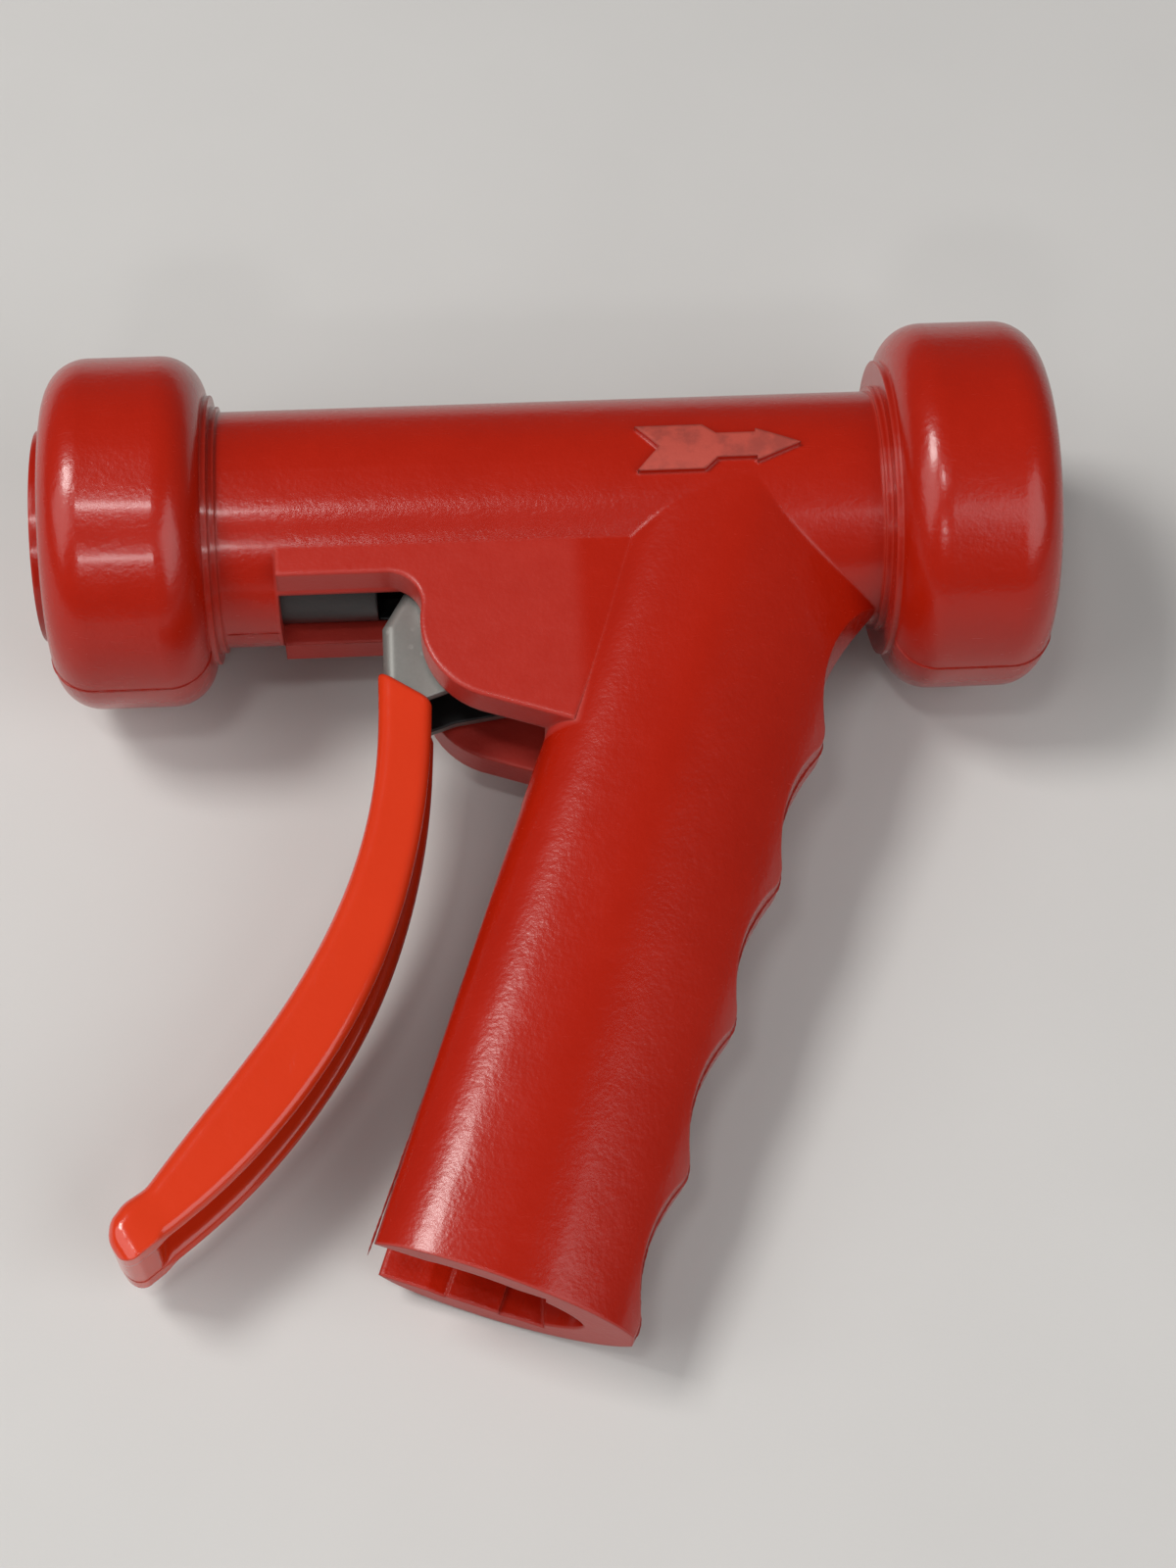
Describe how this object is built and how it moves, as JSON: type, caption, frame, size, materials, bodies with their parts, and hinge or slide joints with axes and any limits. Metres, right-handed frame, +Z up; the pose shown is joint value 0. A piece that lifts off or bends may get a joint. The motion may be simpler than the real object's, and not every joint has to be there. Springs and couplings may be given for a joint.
{
  "type": "trigger hose nozzle",
  "caption": "Rubber-covered trigger hose nozzle: pistol grip with finger ridges, rear squeeze lever, bumper rings at both ends, sliding hollow stem valve.",
  "frame": {"origin": "centre of the inlet face of the valve body, on the flow axis", "axes": "+X along the flow from the hose to the jet; +Z up with the nozzle lying on its side, resting on its front bumper and the side of its grip end, so its middle plane is tipped 6.7 degrees about X; the grip points to -Y"},
  "size_m": [0.1762, 0.1798, 0.0648],
  "materials": {
    "black_casting": "black, half gloss",
    "red_rubber": "moulded, glossy red",
    "packing": "woven packing",
    "brass": "turned",
    "black_rubber": "moulded",
    "stainless": "turned",
    "spring_steel": "drawn wire",
    "bronze": "turned",
    "satin_steel": "satin, cast",
    "orange_vinyl": "dipped, very glossy orange-red"
  },
  "bodies": {
    "housing": {"valve_body": "black_casting", "rubber_cover": "red_rubber", "rear_packing": "packing", "rear_gland_nut": "brass", "front_packing": "packing", "front_gland_nut": "brass", "discharge_head": "brass", "head_seal": "black_rubber", "seat_ring": "black_rubber", "pivot_pin": "stainless", "pivot_clips": "spring_steel", "return_spring": "spring_steel"},
    "stem": {"stem_tube": "stainless", "thrust_washer": "bronze", "thrust_collar": "brass", "collar_lock_nut": "stainless", "spring_cup": "stainless", "cup_clip": "spring_steel", "disc_holder": "brass", "disc_seal": "black_rubber", "spray_tip": "brass"},
    "lever": {"lever_frame": "satin_steel", "lever_coating": "orange_vinyl", "pivot_bushes": "bronze"}
  },
  "joints": [
    {"name": "lever_squeeze", "type": "hinge", "parent": "housing", "child": "lever", "pos_m": [0.081, -0.02681, -0.00317], "axis": [0, -0.1175, 0.9931], "range_deg": [0, 9.5], "stiffness_Nm_per_rad": 4.4, "springref_deg": -17.19},
    {"name": "stem_slide", "type": "slide", "parent": "housing", "child": "stem", "axis": [-1, 0, 0], "range_m": [0, 0.00452], "deforming": ["return_spring"]}
  ],
  "couplings": [
    {"joint": "stem_slide", "follows": "lever_squeeze", "m_per_rad": 0.026969}
  ]
}
